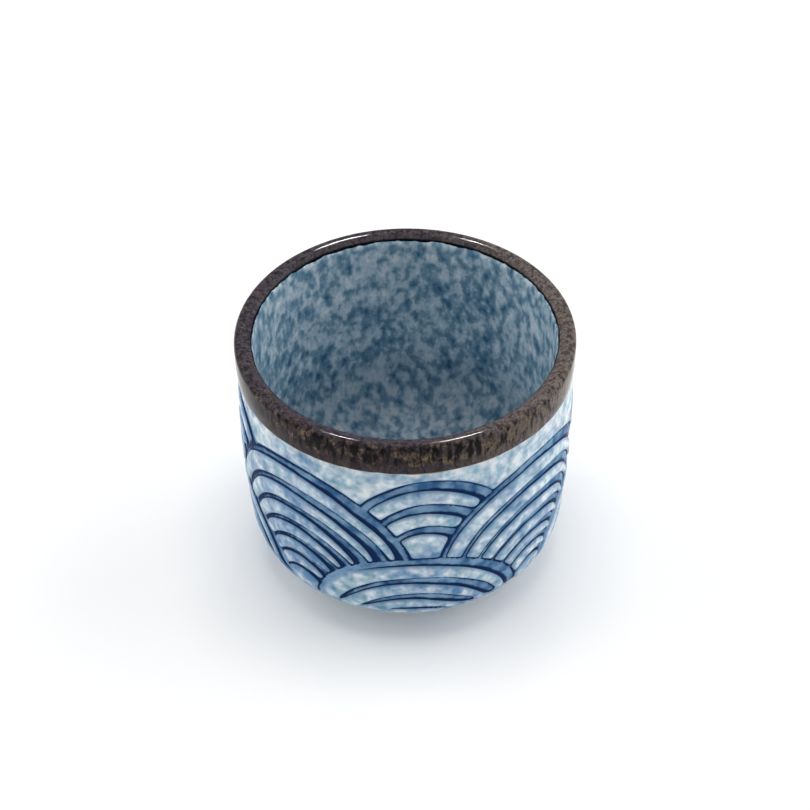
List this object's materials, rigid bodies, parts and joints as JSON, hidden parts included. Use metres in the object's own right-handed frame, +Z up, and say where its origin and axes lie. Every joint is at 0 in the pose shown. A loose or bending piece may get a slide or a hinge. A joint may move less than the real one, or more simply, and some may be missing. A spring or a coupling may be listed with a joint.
{
  "type": "sake cup",
  "caption": "Small round stoneware sake cup with a brown glazed rim, a speckled blue lining and raised bands of overlapping waves, standing on a foot ring.",
  "frame": {"origin": "under the middle of the foot ring, on the surface the cup stands on", "axes": "+Z up along the cup's axis, -Y towards the front of the wave pattern"},
  "size_m": [0.06, 0.06, 0.0501],
  "materials": {
    "clay": "bare fired stoneware",
    "cobalt_wash": "gloss, pooled in the channels",
    "pale_glaze": "gloss, with teal speckle",
    "lining_glaze": "gloss, with dark blue speckle",
    "rim_glaze": "gloss, mottled iron brown"
  },
  "bodies": {
    "root": {"clay_body": "clay", "cobalt_wash": "cobalt_wash", "lower_wave_bands": "pale_glaze", "middle_wave_bands": "pale_glaze", "upper_wave_bands": "pale_glaze", "shoulder_glaze": "pale_glaze", "belly_glaze": "pale_glaze", "inside_glaze": "lining_glaze", "rim_glaze": "rim_glaze", "underfoot_glaze": "pale_glaze"}
  },
  "joints": []
}
